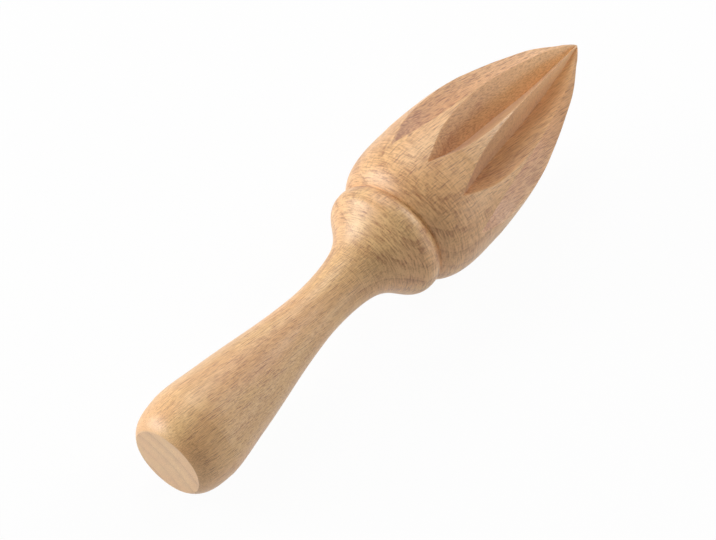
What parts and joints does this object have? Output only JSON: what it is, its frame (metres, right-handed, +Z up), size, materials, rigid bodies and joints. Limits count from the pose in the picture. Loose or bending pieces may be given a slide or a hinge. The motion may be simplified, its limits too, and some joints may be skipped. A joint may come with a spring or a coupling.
{
  "type": "citrus reamer",
  "caption": "Turned wooden citrus reamer: a waisted handle with a flat butt and a flared collar, glued by its tenon into a pointed head with V-shaped flutes.",
  "frame": {"origin": "middle of the bounding box's footprint, on the surface that the reamer lies on", "axes": "+X along the length, from the butt to the nose, with the turning axis climbing 4.05 degrees towards the nose; +Z up"},
  "size_m": [0.1752, 0.0418, 0.0422],
  "materials": {
    "handle_beech": "sanded, unvarnished",
    "head_beech": "sanded, unvarnished"
  },
  "bodies": {
    "root": {"handle": "handle_beech", "head": "head_beech"}
  },
  "joints": []
}
